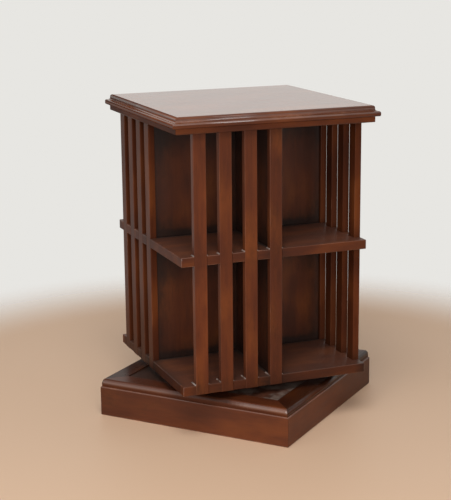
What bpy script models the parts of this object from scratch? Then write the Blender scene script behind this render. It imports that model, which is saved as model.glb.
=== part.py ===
"""Revolving bookcase: a square case of boards and slats that spins on a low moulded base.

The base stands still on the floor, turned aside under the case. Between them lies a flat
ball bearing: two steel plates with a ring of balls in a cage. The case has two levels, each
parted by a cross into four bays, and every bay is open on one side and slatted on the next.

Metres, +Z up. The floor is z = 0 and the spin axis is the Z axis.
"""

from math import cos, pi, radians, sin, sqrt

import bmesh
import bpy
from mathutils import Matrix, Vector

# Fits
FIT = 0.0003                 # gap left at every glued, screwed or seated joint
RUN = 0.0005                 # clearance round the bearing's turning pieces

# Base
BASE_TURN = radians(41.0)    # how far the base is turned under the case
PLINTH_SIDE = 0.4775
PLINTH_HEIGHT = 0.069
PLINTH_THICK = 0.018
CORNER_BLOCK_SIDE = 0.034
CORNER_BLOCK_LIFT = 0.010    # the glue blocks stop this far above the floor
BASE_RAIL_HEIGHT = 0.0175
BASE_RAIL_WIDTH = 0.046
BASE_RAIL_LEDGE = 0.0026     # strip of the plinth's top left bare outside the rail
BASE_RAIL_ARRIS = 0.002      # chamfer on the rail's inner top edge
OVOLO_WIDTH = 0.006          # rounding of the rail's outer top edge
OVOLO_HEIGHT = 0.010
PANEL_RECESS = 0.0015        # the panel lies this far below the rails' top
TONGUE_THICK = 0.006
TONGUE_LENGTH = 0.008
BEARER_WIDTH = 0.040
BEARER_HEIGHT = 0.022
ACCESS_HOLE_RADIUS = 0.009   # hole in the panel for driving the upper plate's screws

# Turntable bearing
PLATE_SIDE = 0.200
PLATE_THICK = 0.002
RACE_RADIUS = 0.065          # spin axis to the middle of the balls
BALL_RADIUS = 0.0025
BALL_COUNT = 12
CAGE_WIDTH = 0.009
CAGE_THICK = 0.0016
RIM_WIDTH = 0.0025           # pressed rims that keep the cage on its circle
RIVET_RADIUS = 0.006
RIVET_HEAD_RADIUS = 0.010
RIVET_HEAD_THICK = 0.002
SCREW_RADIUS = 0.002
SCREW_HEAD_RADIUS = 0.0038
SCREW_HEAD_DEPTH = 0.0022
SCREW_HEAD_SINK = 0.0002     # the heads lie this far below the plates' faces
SCREW_POINT = 0.005
SCREW_BITE = 0.009           # how far a screw reaches into the last board that it holds
SCREW_INSET = 0.014          # plate edge to screw
BLOCK_MARGIN = 0.006         # the turntable block stands this far out round the plate
BLOCK_THICK = 0.010

# Case
SHELF_SIDE = 0.440           # bottom board, middle shelf and sub-top
BOARD_THICK = 0.021          # bottom board and middle shelf
SUB_TOP_THICK = 0.015
LOWER_BAY = 0.268            # clear heights of the two levels
UPPER_BAY = 0.263
PARTITION_THICK = 0.018
SLAT_WIDTH = 0.029
SLAT_THICK = 0.015
SLATS_PER_FACE = 4
CORNER_MARGIN = 0.030        # case corner to the first slat
FRIEZE_WIDTH = 0.0115
FRIEZE_HEIGHT = 0.013

# Moulded edge of the top board, from its upper face down
TOP_OVERHANG = 0.021         # case side to the bead's outer face
LIP_ROUND = 0.0042
LIP_FLAT = 0.0030
COVE_RADIUS = 0.0048
BEAD_LEDGE = 0.0015
BEAD_ROUND = 0.0035
BEAD_FLAT = 0.0045

# Facets
ARC_STEPS = 4                # straight pieces in a quarter of a moulding
RING_STEPS = 36              # sides of the bearing's rims and cage
ROUND_STEPS = 12             # sides of screws, rivet and holes
CUT_OVER = 0.002             # how far cutters run past what they cut

# Half sizes, measured out from the spin axis
plinth_half = PLINTH_SIDE / 2
plinth_inside = plinth_half - PLINTH_THICK
rail_outside = plinth_half - BASE_RAIL_LEDGE
rail_inside = rail_outside - BASE_RAIL_WIDTH
plate_half = PLATE_SIDE / 2
screw_offset = plate_half - SCREW_INSET
block_half = plate_half + BLOCK_MARGIN
shelf_half = SHELF_SIDE / 2
slat_inside = shelf_half - SLAT_THICK
slat_pitch = (shelf_half - CORNER_MARGIN - SLAT_WIDTH / 2) / (SLATS_PER_FACE - 1)
bead_outside = shelf_half + TOP_OVERHANG

# Heights, from the floor up
rail_low = PLINTH_HEIGHT + FIT
rail_top = rail_low + BASE_RAIL_HEIGHT
panel_top = rail_top - PANEL_RECESS
lower_plate_low = panel_top + FIT
lower_plate_top = lower_plate_low + PLATE_THICK
ball_middle = lower_plate_top + FIT + BALL_RADIUS
upper_plate_low = ball_middle + BALL_RADIUS + FIT
upper_plate_top = upper_plate_low + PLATE_THICK
block_low = upper_plate_top + FIT
block_top = block_low + BLOCK_THICK
bottom_low = block_top + FIT
bottom_top = bottom_low + BOARD_THICK
shelf_low = bottom_top + LOWER_BAY
shelf_top = shelf_low + BOARD_THICK
sub_top_low = shelf_top + UPPER_BAY
sub_top_top = sub_top_low + SUB_TOP_THICK
top_low = sub_top_top + FIT
top_top = top_low + 2 * BEAD_ROUND + BEAD_FLAT + COVE_RADIUS + LIP_FLAT + LIP_ROUND

SIDES = ("front", "right", "back", "left")
QUARTER_TURN = pi / 2

# Finishes: colour, roughness and metallic value
MAHOGANY = ((0.110, 0.037, 0.019, 1.0), 0.30, 0.0)
PANEL_WOOD = ((0.050, 0.020, 0.013, 1.0), 0.32, 0.0)
RAW_WOOD = ((0.330, 0.200, 0.105, 1.0), 0.70, 0.0)
STEEL = ((0.560, 0.560, 0.540, 1.0), 0.38, 1.0)

for old in list(bpy.data.objects):
    bpy.data.objects.remove(old, do_unlink=True)

pieces = bpy.data.collections.new("revolving_bookcase")
cutters = bpy.data.collections.new("cutters")
for collection in (pieces, cutters):
    bpy.context.scene.collection.children.link(collection)


def pivot(name, turn=0.0):
    """An empty on the spin axis that carries one body's pieces."""
    empty = bpy.data.objects.new(name, None)
    empty.rotation_euler.z = turn
    pieces.objects.link(empty)
    return empty


def piece(name, mesh, finish, parent, location=(0, 0, 0), rotation=(0, 0, 0)):
    """One piece of the object, with its own material."""
    colour, roughness, metallic = finish
    material = bpy.data.materials.new(name)
    material.use_nodes = True
    shader = material.node_tree.nodes["Principled BSDF"]
    shader.inputs["Base Color"].default_value = colour
    shader.inputs["Roughness"].default_value = roughness
    shader.inputs["Metallic"].default_value = metallic
    obj = bpy.data.objects.new(name, mesh)
    obj.data.materials.append(material)
    obj.parent = parent
    obj.location = location
    obj.rotation_euler = rotation
    pieces.objects.link(obj)
    return obj


def cutter(name, mesh, parent, location=(0, 0, 0), rotation=(0, 0, 0)):
    """A shape that is cut out of pieces or joined to them, and isn't a piece itself."""
    obj = bpy.data.objects.new(name, mesh)
    obj.parent = parent
    obj.location = location
    obj.rotation_euler = rotation
    obj.hide_render = True
    obj.display_type = "WIRE"
    cutters.objects.link(obj)
    return obj


def combine(obj, other, operation="DIFFERENCE"):
    boolean = obj.modifiers.new(other.name, "BOOLEAN")
    boolean.operation = operation
    boolean.solver = "EXACT"
    boolean.object = other


def to_mesh(name, shape):
    mesh = bpy.data.meshes.new(name)
    shape.to_mesh(mesh)
    shape.free()
    return mesh


def box_mesh(name, size):
    """A rectangular board round its own middle."""
    shape = bmesh.new()
    bmesh.ops.create_cube(shape, size=1.0)
    bmesh.ops.scale(shape, vec=size, verts=shape.verts)
    return to_mesh(name, shape)


def line_mesh(name, points, closed):
    """A profile of points joined in order, for a Screw modifier."""
    shape = bmesh.new()
    verts = [shape.verts.new(point) for point in points]
    for first, second in zip(verts, verts[1:]):
        shape.edges.new((first, second))
    if closed:
        shape.edges.new((verts[-1], verts[0]))
    return to_mesh(name, shape)


def sweep(obj, steps, smooth):
    """Turn a profile once round the Z axis."""
    screw = obj.modifiers.new("sweep", "SCREW")
    screw.axis = "Z"
    screw.angle = 2 * pi
    screw.steps = steps
    screw.render_steps = steps
    screw.use_merge_vertices = True
    screw.merge_threshold = 0.00001
    screw.use_smooth_shade = smooth
    return obj


def round_profile(name, outline, closed=False):
    """An outline of (radius, height) points, run down its outer side."""
    return line_mesh(name, [(radius, 0, height) for radius, height in outline], closed)


def square_profile(name, outline):
    """An outline of (half side, height) points, drawn on one corner for a sweep of four steps."""
    return line_mesh(name, [(half, -half, height) for half, height in outline], False)


def quarter(middle, reach, start):
    """A quarter of an ellipse in (half, height), running clockwise from the start angle."""
    points = []
    for step in range(ARC_STEPS + 1):
        angle = radians(start) - QUARTER_TURN * step / ARC_STEPS
        points.append((middle[0] + reach[0] * cos(angle), middle[1] + reach[1] * sin(angle)))
    return points


def mitred_mesh(name, section):
    """A length of moulding for the front side, its section drawn on the mitre at each end."""
    shape = bmesh.new()
    setback = FIT / sqrt(2)
    end = [shape.verts.new((setback - half, -half, height)) for half, height in section]
    face = shape.faces.new(end)
    far = bmesh.ops.extrude_face_region(shape, geom=[face])["geom"]
    for vert in [item for item in far if isinstance(item, bmesh.types.BMVert)]:
        vert.co.x = -vert.co.x
    bmesh.ops.recalc_face_normals(shape, faces=shape.faces)
    return to_mesh(name, shape)


def mitred_frame(name, section, finish, parent):
    """Four like lengths of moulding, mitred round a square."""
    mesh = mitred_mesh(name, section)
    for count, side in enumerate(SIDES):
        turn = (0, 0, count * QUARTER_TURN)
        piece(f"{name}_{side}", mesh.copy(), finish, parent, rotation=turn)


def hole(name, radius, low, high, parent, place=(0, 0)):
    """A cutter for a plain round hole from one height to another."""
    shape = bmesh.new()
    bmesh.ops.create_cone(
        shape,
        cap_ends=True,
        segments=ROUND_STEPS,
        radius1=radius,
        radius2=radius,
        depth=high - low + 2 * CUT_OVER,
    )
    return cutter(name, to_mesh(name, shape), parent, (place[0], place[1], (low + high) / 2))


def screw_outline(length, clearance):
    """Half the outline of a countersunk wood screw, from the head's face at height 0."""
    over = CUT_OVER if clearance else 0.0
    return [
        (0, over),
        (SCREW_HEAD_RADIUS + clearance, over),
        (SCREW_HEAD_RADIUS + clearance, 0),
        (SCREW_RADIUS + clearance, -SCREW_HEAD_DEPTH - clearance),
        (SCREW_RADIUS + clearance, -length + SCREW_POINT),
        (0, -length - clearance),
    ]


def plate_screws(name, length, height, flip, parent):
    """Four screws at a bearing plate's corners, and the cutters for their holes."""
    holes = []
    for count in range(4):
        angle = pi / 4 + count * QUARTER_TURN
        radius = screw_offset * sqrt(2)
        place = (radius * cos(angle), radius * sin(angle), height)
        turn = (flip, 0, 0)
        label = f"{name}_{count + 1}"
        mesh = round_profile(label, screw_outline(length, 0.0))
        sweep(piece(label, mesh, STEEL, parent, place, turn), ROUND_STEPS, True)
        mesh = round_profile(f"{label}_hole", screw_outline(length, FIT))
        holes.append(sweep(cutter(f"{label}_hole", mesh, parent, place, turn), ROUND_STEPS, False))
    return holes


def rim(name, inside, low, high, parent):
    """A raised ring that is joined to a bearing plate."""
    outline = [
        (inside, high),
        (inside + RIM_WIDTH, high),
        (inside + RIM_WIDTH, low),
        (inside, low),
    ]
    return sweep(cutter(name, round_profile(name, outline, True), parent), RING_STEPS, False)


# Base: plinth boards, glue blocks and bearers
base = pivot("base_pivot", BASE_TURN)

mitred_frame(
    "plinth",
    [(plinth_half, 0), (plinth_half, PLINTH_HEIGHT), (plinth_inside, PLINTH_HEIGHT), (plinth_inside, 0)],
    MAHOGANY,
    base,
)

block_height = PLINTH_HEIGHT - CORNER_BLOCK_LIFT
block_offset = plinth_inside - FIT - CORNER_BLOCK_SIDE / 2
for count in range(4):
    angle = pi / 4 + count * QUARTER_TURN
    piece(
        f"corner_block_{count + 1}",
        box_mesh("corner_block", (CORNER_BLOCK_SIDE, CORNER_BLOCK_SIDE, block_height)),
        RAW_WOOD,
        base,
        (
            block_offset * sqrt(2) * cos(angle),
            block_offset * sqrt(2) * sin(angle),
            PLINTH_HEIGHT - block_height / 2,
        ),
    )

bearers = []
for side, way in (("left", -1), ("right", 1)):
    size = (BEARER_WIDTH, 2 * (plinth_inside - FIT), BEARER_HEIGHT)
    place = (way * screw_offset, 0, PLINTH_HEIGHT - BEARER_HEIGHT / 2)
    bearers.append(piece(f"base_bearer_{side}", box_mesh("base_bearer", size), RAW_WOOD, base, place))

# Base: moulded rails with a grooved inner edge, and the panel whose tongue lies in the groove
tongue_middle = (rail_low + panel_top) / 2
tongue_low = tongue_middle - TONGUE_THICK / 2
tongue_top = tongue_middle + TONGUE_THICK / 2
groove_end = rail_inside + TONGUE_LENGTH

ovolo_middle = (rail_outside - OVOLO_WIDTH, rail_top - OVOLO_HEIGHT)
ovolo = quarter(ovolo_middle, (OVOLO_WIDTH, OVOLO_HEIGHT), 90)
mitred_frame(
    "base_rail",
    [
        *ovolo,
        (rail_outside, rail_low),
        (rail_inside, rail_low),
        (rail_inside, tongue_low - FIT),
        (groove_end, tongue_low - FIT),
        (groove_end, tongue_top + FIT),
        (rail_inside, tongue_top + FIT),
        (rail_inside, rail_top - BASE_RAIL_ARRIS),
        (rail_inside + BASE_RAIL_ARRIS, rail_top),
    ],
    MAHOGANY,
    base,
)

panel_half = rail_inside - FIT
tongue_half = groove_end - FIT
panel_outline = [
    (0, panel_top),
    (panel_half, panel_top),
    (panel_half, tongue_top),
    (tongue_half, tongue_top),
    (tongue_half, tongue_low),
    (panel_half, tongue_low),
    (panel_half, rail_low),
    (0, rail_low),
]
base_panel = piece("base_panel", square_profile("base_panel", panel_outline), PANEL_WOOD, base)
sweep(base_panel, 4, False)

# Bearing: lower plate, screwed down through the panel into the bearers
cage_inside = RACE_RADIUS - CAGE_WIDTH / 2
cage_outside = RACE_RADIUS + CAGE_WIDTH / 2
plate_size = (PLATE_SIDE, PLATE_SIDE, PLATE_THICK)

lower_plate_middle = (lower_plate_low + lower_plate_top) / 2
lower_plate = piece(
    "bearing_lower_plate",
    box_mesh("bearing_lower_plate", plate_size),
    STEEL,
    base,
    (0, 0, lower_plate_middle),
)
# Each rim runs from inside its plate, which it joins, to the middle of the cage
lower_rim = rim("lower_rim", cage_inside - RUN - RIM_WIDTH, lower_plate_middle, ball_middle, base)
combine(lower_plate, lower_rim, "UNION")
lower_length = PLATE_THICK + (panel_top - rail_low) + SCREW_BITE
lower_holes = plate_screws(
    "lower_plate_screw", lower_length, lower_plate_top - SCREW_HEAD_SINK, 0.0, base
)
for screw_hole in lower_holes:
    for board in (lower_plate, base_panel, *bearers):
        combine(board, screw_hole)

# Bearing: rivet through both plates, with a head sunk in the panel and one in the turntable block
rivet_outline = [
    (0, upper_plate_top + FIT + RIVET_HEAD_THICK),
    (RIVET_HEAD_RADIUS, upper_plate_top + FIT + RIVET_HEAD_THICK),
    (RIVET_HEAD_RADIUS, upper_plate_top + FIT),
    (RIVET_RADIUS, upper_plate_top + FIT),
    (RIVET_RADIUS, lower_plate_low - FIT),
    (RIVET_HEAD_RADIUS, lower_plate_low - FIT),
    (RIVET_HEAD_RADIUS, lower_plate_low - FIT - RIVET_HEAD_THICK),
    (0, lower_plate_low - FIT - RIVET_HEAD_THICK),
]
rivet = piece("pivot_rivet", round_profile("pivot_rivet", rivet_outline), STEEL, base)
sweep(rivet, ROUND_STEPS, True)
rivet_hole = hole("lower_rivet_hole", RIVET_RADIUS + FIT, lower_plate_low, lower_plate_top, base)
combine(lower_plate, rivet_hole)
rivet_hole = hole("panel_rivet_hole", RIVET_HEAD_RADIUS + RUN, rail_low, panel_top, base)
combine(base_panel, rivet_hole)
# On the upper screws' circle, outside the lower plate
access_place = (0, screw_offset * sqrt(2))
access_hole = hole("access_hole", ACCESS_HOLE_RADIUS, rail_low, panel_top, base, access_place)
combine(base_panel, access_hole)

# Bearing: balls held in a flat ring
cage = pivot("cage_pivot")
cage_outline = [
    (cage_inside, ball_middle + CAGE_THICK / 2),
    (cage_outside, ball_middle + CAGE_THICK / 2),
    (cage_outside, ball_middle - CAGE_THICK / 2),
    (cage_inside, ball_middle - CAGE_THICK / 2),
]
ball_cage = piece("ball_cage", round_profile("ball_cage", cage_outline, True), STEEL, cage)
sweep(ball_cage, RING_STEPS, True)

balls = bmesh.new()
for count in range(BALL_COUNT):
    # Half a ring step aside, so that no ball's edge lies on a corner of the ring
    angle = 2 * pi * count / BALL_COUNT + pi / RING_STEPS
    ball = bmesh.ops.create_icosphere(balls, subdivisions=2, radius=BALL_RADIUS)
    place = (RACE_RADIUS * cos(angle), RACE_RADIUS * sin(angle), ball_middle)
    bmesh.ops.translate(balls, vec=place, verts=ball["verts"])
combine(ball_cage, cutter("balls", to_mesh("balls", balls), cage), "UNION")

# Case: upper plate and the block that it is screwed to
case = pivot("case_pivot")

upper_plate_middle = (upper_plate_low + upper_plate_top) / 2
upper_plate = piece(
    "bearing_upper_plate",
    box_mesh("bearing_upper_plate", plate_size),
    STEEL,
    case,
    (0, 0, upper_plate_middle),
)
upper_rim = rim("upper_rim", cage_outside + RUN, ball_middle, upper_plate_middle, case)
combine(upper_plate, upper_rim, "UNION")
turntable_block = piece(
    "turntable_block",
    box_mesh("turntable_block", (2 * block_half, 2 * block_half, BLOCK_THICK)),
    MAHOGANY,
    case,
    (0, 0, block_low + BLOCK_THICK / 2),
)
rivet_hole = hole("upper_rivet_hole", RIVET_RADIUS + RUN, upper_plate_low, upper_plate_top, case)
combine(upper_plate, rivet_hole)
rivet_hole = hole("block_rivet_hole", RIVET_HEAD_RADIUS + RUN, block_low, block_top, case)
combine(turntable_block, rivet_hole)

# Case: three boards with notches round their edges for the slats
notch_inside = slat_inside - FIT
notch_outside = shelf_half + CUT_OVER
notch_size = (
    SLAT_WIDTH + 2 * FIT,
    notch_outside - notch_inside,
    sub_top_top - bottom_low + 2 * CUT_OVER,
)
slat_middle = (bottom_low + sub_top_top) / 2


def slat_place(face, count, out):
    """A slat's place: the row runs from the middle of its face to the left-hand corner."""
    turn = Matrix.Rotation(face * QUARTER_TURN, 3, "Z")
    return turn @ Vector((-count * slat_pitch, -out, slat_middle))


notches = bmesh.new()
for face in range(len(SIDES)):
    for count in range(SLATS_PER_FACE):
        notch = bmesh.ops.create_cube(notches, size=1.0)["verts"]
        bmesh.ops.scale(notches, vec=notch_size, verts=notch)
        turn = Matrix.Rotation(face * QUARTER_TURN, 3, "Z")
        bmesh.ops.rotate(notches, cent=(0, 0, 0), matrix=turn, verts=notch)
        place = slat_place(face, count, (notch_inside + notch_outside) / 2)
        bmesh.ops.translate(notches, vec=place, verts=notch)
slat_notches = cutter("slat_notches", to_mesh("slat_notches", notches), case)

boards = {}
for name, low, high in (
    ("bottom_board", bottom_low, bottom_top),
    ("middle_shelf", shelf_low, shelf_top),
    ("sub_top", sub_top_low, sub_top_top),
):
    mesh = box_mesh(name, (SHELF_SIDE, SHELF_SIDE, high - low))
    boards[name] = piece(name, mesh, MAHOGANY, case, (0, 0, (low + high) / 2))
    combine(boards[name], slat_notches)

upper_length = PLATE_THICK + BLOCK_THICK + SCREW_BITE
upper_holes = plate_screws(
    "upper_plate_screw", upper_length, upper_plate_low + SCREW_HEAD_SINK, pi, case
)
for screw_hole in upper_holes:
    for board in (upper_plate, turntable_block, boards["bottom_board"]):
        combine(board, screw_hole)

# Case: on each level one long board and two short ones make a cross between the middle slats
cross_reach = slat_inside - FIT
short_length = cross_reach - PARTITION_THICK / 2 - FIT
for level, floor, clear in (("lower", bottom_top, LOWER_BAY), ("upper", shelf_top, UPPER_BAY)):
    height = clear - 2 * FIT
    middle = floor + clear / 2
    name = f"partition_{level}_long"
    mesh = box_mesh(name, (2 * cross_reach, PARTITION_THICK, height))
    piece(name, mesh, MAHOGANY, case, (0, 0, middle))
    for side, way in (("front", -1), ("back", 1)):
        name = f"partition_{level}_{side}"
        mesh = box_mesh(name, (PARTITION_THICK, short_length, height))
        piece(name, mesh, MAHOGANY, case, (0, way * (cross_reach - short_length / 2), middle))

# Case: slats from the bottom board's underside to the sub-top's upper face
slat_size = (SLAT_WIDTH, SLAT_THICK, sub_top_top - bottom_low)
for face, side in enumerate(SIDES):
    for count in range(SLATS_PER_FACE):
        name = f"slat_{side}_{count + 1}"
        place = slat_place(face, count, shelf_half - SLAT_THICK / 2)
        turn = (0, 0, face * QUARTER_TURN)
        piece(name, box_mesh(name, slat_size), MAHOGANY, case, place, turn)

# Case: frieze strips that hide the slats' upper ends, and the moulded top over them
frieze_inside = shelf_half + FIT
frieze_outside = frieze_inside + FRIEZE_WIDTH
frieze_low = sub_top_top - FRIEZE_HEIGHT
mitred_frame(
    "frieze",
    [
        (frieze_outside, sub_top_top),
        (frieze_outside, frieze_low),
        (frieze_inside, frieze_low),
        (frieze_inside, sub_top_top),
    ],
    MAHOGANY,
    case,
)

bead_inside = bead_outside - BEAD_ROUND
bead_top = top_low + 2 * BEAD_ROUND + BEAD_FLAT
lip_face = bead_inside - BEAD_LEDGE - COVE_RADIUS
cove = quarter((lip_face + COVE_RADIUS, bead_top + COVE_RADIUS), (COVE_RADIUS, COVE_RADIUS), 270)
top_outline = [
    (0, top_top),
    *quarter((lip_face - LIP_ROUND, top_top - LIP_ROUND), (LIP_ROUND, LIP_ROUND), 90),
    *reversed(cove),
    *quarter((bead_inside, bead_top - BEAD_ROUND), (BEAD_ROUND, BEAD_ROUND), 90),
    *quarter((bead_inside, top_low + BEAD_ROUND), (BEAD_ROUND, BEAD_ROUND), 0),
    (0, top_low),
]
top_board = piece("top_board", square_profile("top_board", top_outline), MAHOGANY, case)
sweep(top_board, 4, False)
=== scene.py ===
from math import cos, pi, radians, sin

import bmesh
import bpy
from mathutils import Matrix, Vector


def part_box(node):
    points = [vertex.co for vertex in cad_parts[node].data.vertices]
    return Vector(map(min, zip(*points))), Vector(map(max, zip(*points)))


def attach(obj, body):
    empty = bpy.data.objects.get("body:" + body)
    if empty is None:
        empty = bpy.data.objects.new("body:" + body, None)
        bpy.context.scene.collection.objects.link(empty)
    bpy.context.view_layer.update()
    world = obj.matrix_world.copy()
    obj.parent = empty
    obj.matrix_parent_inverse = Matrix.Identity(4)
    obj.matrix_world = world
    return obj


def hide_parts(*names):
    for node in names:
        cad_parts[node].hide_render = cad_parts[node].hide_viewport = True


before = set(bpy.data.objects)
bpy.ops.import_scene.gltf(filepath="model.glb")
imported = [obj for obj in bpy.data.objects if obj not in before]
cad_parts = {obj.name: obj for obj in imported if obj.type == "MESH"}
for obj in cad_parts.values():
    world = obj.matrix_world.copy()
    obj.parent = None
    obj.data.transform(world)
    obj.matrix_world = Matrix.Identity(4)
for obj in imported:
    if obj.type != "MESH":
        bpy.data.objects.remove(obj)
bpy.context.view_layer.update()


# Plinth: four mahogany boards on edge, mitred at the corners and glued round the blocks inside.
# Each is a plain board with its long arrises eased by hand, stained and lacquered a dark red-brown,
# and it stands on the floor turned aside from the case above it.
SIDES = ("front", "right", "back", "left")
ALONG, ACROSS, UPRIGHT = range(3)
BASE_TURN = radians(41.0)
UNTURN = Matrix.Rotation(-BASE_TURN, 3, "Z")
WELD = 0.00002
FLAT_ANGLE = radians(0.5)
SHARP_ANGLE = radians(50)
SAME_WAY = 0.999
EASING_STEPS = 3
PLINTH_EASING = 0.0024
# How much painted shade darkens each board away from the near corner
PLINTH_PAINTED_SHADE = {"front": 0.55, "right": 0.40, "back": 0.55, "left": 0.40}


def new_shape():
    """An empty shape with room for the two marks that a finish reads: eased arrises and painted
    shade.
    """
    shape = bmesh.new()
    shape.faces.layers.float.new("arris")
    shape.verts.layers.float.new("painted_shade")
    return shape


def cad_shape(node):
    """A CAD node's shape, its loose triangles welded into whole flat faces."""
    shape = new_shape()
    shape.from_mesh(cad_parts[node].data)
    bmesh.ops.remove_doubles(shape, verts=shape.verts, dist=WELD)
    bmesh.ops.dissolve_limit(shape, angle_limit=FLAT_ANGLE, verts=shape.verts, edges=shape.edges)
    for face in shape.faces:
        face.smooth = False
    return shape


def ease(shape, edges, width, steps=EASING_STEPS, wear=1.0):
    """Round edges over and mark the rounded strips as arrises, worn as much as wear says."""
    strips = bmesh.ops.bevel(
        shape,
        geom=edges,
        affect="EDGES",
        offset=width,
        offset_type="OFFSET",
        segments=steps,
        profile=0.5,
        material=-1,
        clamp_overlap=True,
    )["faces"]
    arris = shape.faces.layers.float["arris"]
    for face in strips:
        face[arris] = wear
        face.smooth = True
    return strips


def arrises(shape, least_length=0.0, way=None):
    """The outward right-angled edges of a shape, or those that run one way."""
    found = []
    for edge in shape.edges:
        if not edge.is_manifold or not edge.is_convex or edge.calc_face_angle() < SHARP_ANGLE:
            continue
        run = edge.verts[1].co - edge.verts[0].co
        if run.length < least_length:
            continue
        if way is None or abs(run.normalized().dot(way)) > SAME_WAY:
            found.append(edge)
    return found


def fit_piece(node, shape, body, slot, *finishes):
    """Make a shape one piece of the object in place of its CAD node."""
    name = f"finished_{node}"
    mesh = bpy.data.meshes.new(name)
    shape.to_mesh(mesh)
    shape.free()
    for finish in finishes:
        mesh.materials.append(finish)
    piece = bpy.data.objects.new(name, mesh)
    bpy.context.scene.collection.objects.link(piece)
    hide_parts(node)
    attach(piece, body)


class Tone:
    """What a node gives out: a number, colour, place or shader. Sums on numbers add Math nodes."""

    def __init__(self, finish, socket):
        self.finish = finish
        self.socket = socket

    def maths(self, operation, first, second):
        return self.finish.node("ShaderNodeMath", {"operation": operation}, {0: first, 1: second})

    def __add__(self, other):
        return self.maths("ADD", self, other)

    def __radd__(self, other):
        return self.maths("ADD", other, self)

    def __sub__(self, other):
        return self.maths("SUBTRACT", self, other)

    def __rsub__(self, other):
        return self.maths("SUBTRACT", other, self)

    def __mul__(self, other):
        return self.maths("MULTIPLY", self, other)

    def __rmul__(self, other):
        return self.maths("MULTIPLY", other, self)

    def at_most(self, other):
        return self.maths("MINIMUM", self, other)

    def at_least(self, other):
        return self.maths("MAXIMUM", self, other)


class Finish:
    """The nodes of one material, or of the room's light."""

    def __init__(self, owner):
        self.owner = owner
        owner.use_nodes = True
        self.tree = owner.node_tree
        self.tree.nodes.clear()

    def node(self, kind, settings, sockets, output=0):
        """Add a node, set it, fill its sockets with values or links, and hand back one output."""
        made = self.tree.nodes.new(kind)
        for name, value in settings.items():
            setattr(made, name, value)
        for name, value in sockets.items():
            socket = made.inputs[name]
            if isinstance(value, Tone):
                self.tree.links.new(value.socket, socket)
            elif socket.type == "RGBA":
                socket.default_value = (*value, 1.0)
            else:
                socket.default_value = value
        return Tone(self, made.outputs[output]) if made.outputs else None

    def place(self):
        """Where a point lies in the bookcase."""
        return self.node("ShaderNodeTexCoord", {}, {}, "Object")

    def stretched(self, place, stretch, turn=0.0):
        """The place as a pattern sees it that is drawn out along each axis and turned about z."""
        sockets = {"Vector": place, "Rotation": (0.0, 0.0, turn), "Scale": stretch}
        return self.node("ShaderNodeMapping", {"vector_type": "TEXTURE"}, sockets)

    def part(self, vector, axis):
        """One coordinate of a vector."""
        return self.node("ShaderNodeSeparateXYZ", {}, {"Vector": vector}, axis)

    def noise(self, vector, scale, detail=2.0, roughness=0.5, distortion=0.0):
        """An even noise, about 0.5 on the whole."""
        sockets = {
            "Vector": vector,
            "Scale": scale,
            "Detail": detail,
            "Roughness": roughness,
            "Distortion": distortion,
        }
        return self.node("ShaderNodeTexNoise", {}, sockets)

    def spread(self, tone, low, high):
        """Stretch the part of a tone between low and high over 0 to 1, smoothly."""
        sockets = {"Value": tone, "From Min": low, "From Max": high}
        return self.node("ShaderNodeMapRange", {"interpolation_type": "SMOOTHSTEP"}, sockets)

    def mark(self, name):
        """A mark that the mesh carries, 0 where it has none."""
        return self.node("ShaderNodeAttribute", {"attribute_name": name}, {}, "Fac")

    def mix(self, factor, first, second):
        """One colour over another."""
        settings = {"data_type": "RGBA", "blend_type": "MIX"}
        return self.node("ShaderNodeMix", settings, {0: factor, 6: first, 7: second}, 2)

    def bump(self, height, depth, strength):
        """The surface's direction, roughened by a tone as its height."""
        sockets = {"Strength": strength, "Distance": depth, "Height": height}
        return self.node("ShaderNodeBump", {}, sockets)

    def surface(self, shader, output="ShaderNodeOutputMaterial"):
        """Close the material, or the room, with its shader."""
        self.node(output, {}, {"Surface": shader})
        return self.owner


STAIN_SMOKE = (0.058, 0.0165, 0.0085)
STAIN_DEEP = (0.090, 0.0228, 0.0092)
STAIN_RED = (0.128, 0.0322, 0.0108)
STAIN_GLOW = (0.205, 0.0545, 0.0140)
GLAZE_AND_SHADE = (0.012, 0.0070, 0.0055)
WORN_AND_HIGHLIGHT = (0.310, 0.1250, 0.0680)
DUST_AND_SHEEN = (0.300, 0.2600, 0.2300)
GRAIN_STRETCH = 16.0
CLOUD_STRETCH = 2.4
RIBBON_SCALE = 40.0
STREAK_SCALE = 170.0
PORE_SCALE = 720.0
CLOUD_SCALE = 19.0
FLECK_SCALE = 75.0
FIGURE_RANGE = (0.36, 0.64)
GLOW_RANGE = (0.44, 0.76)
SMOKE_RANGE = (0.24, 0.50)
PORE_RANGE = (0.56, 0.74)
GLAZE_AND_SHADE_RANGE = (0.10, 0.95)
UPWARD_RANGE = (0.70, 1.00)
WEAR_RANGE = (0.50, 0.66)
GLOW_MOST = 0.85
SMOKE_MOST = 0.60
PORE_MOST = 0.40
GLAZE_AND_SHADE_MOST = 0.92
GRAIN_DEPTH = 0.0004
GRAIN_STRENGTH = 0.25
STREAK_ROUGHNESS = 0.16


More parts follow.
